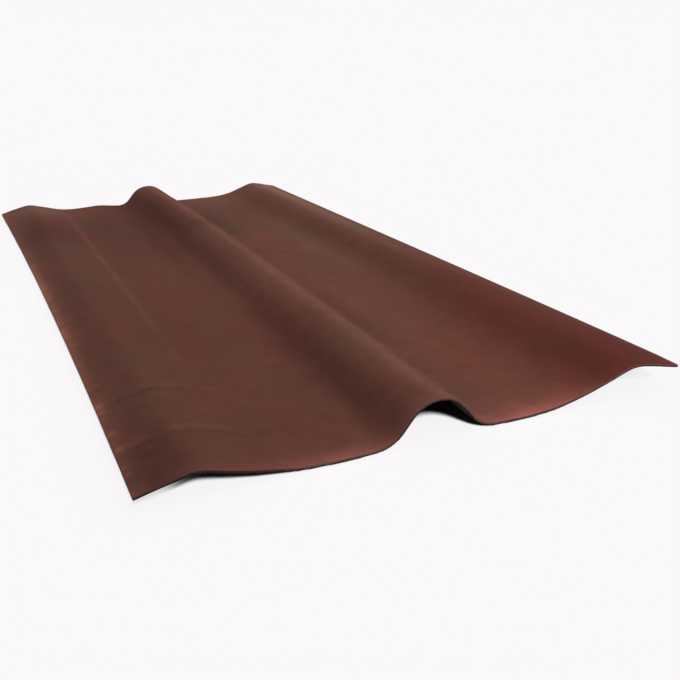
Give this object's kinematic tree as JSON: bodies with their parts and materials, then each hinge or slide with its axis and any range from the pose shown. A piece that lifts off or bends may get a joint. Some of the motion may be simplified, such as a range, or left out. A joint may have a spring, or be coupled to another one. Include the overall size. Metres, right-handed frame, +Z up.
{
  "type": "ridge cap",
  "caption": "Ridge cap of pressed bitumen-fibre sheet: a rounded roll along the middle, a shallow wing each side and a low wave along each long edge.",
  "frame": {"origin": "on the ground under the middle of the cap, in the plane that the undersides of the two wings lie on", "axes": "+X across the cap from one long edge to the other, +Y along the ridge, +Z up through the roll"},
  "size_m": [0.485, 1, 0.034],
  "materials": {
    "bitumen_fibre_sheet": "matt dark red-brown coating on bitumen-saturated fibre, slightly felted"
  },
  "bodies": {
    "root": {"ridge_cap": "bitumen_fibre_sheet"}
  },
  "joints": []
}
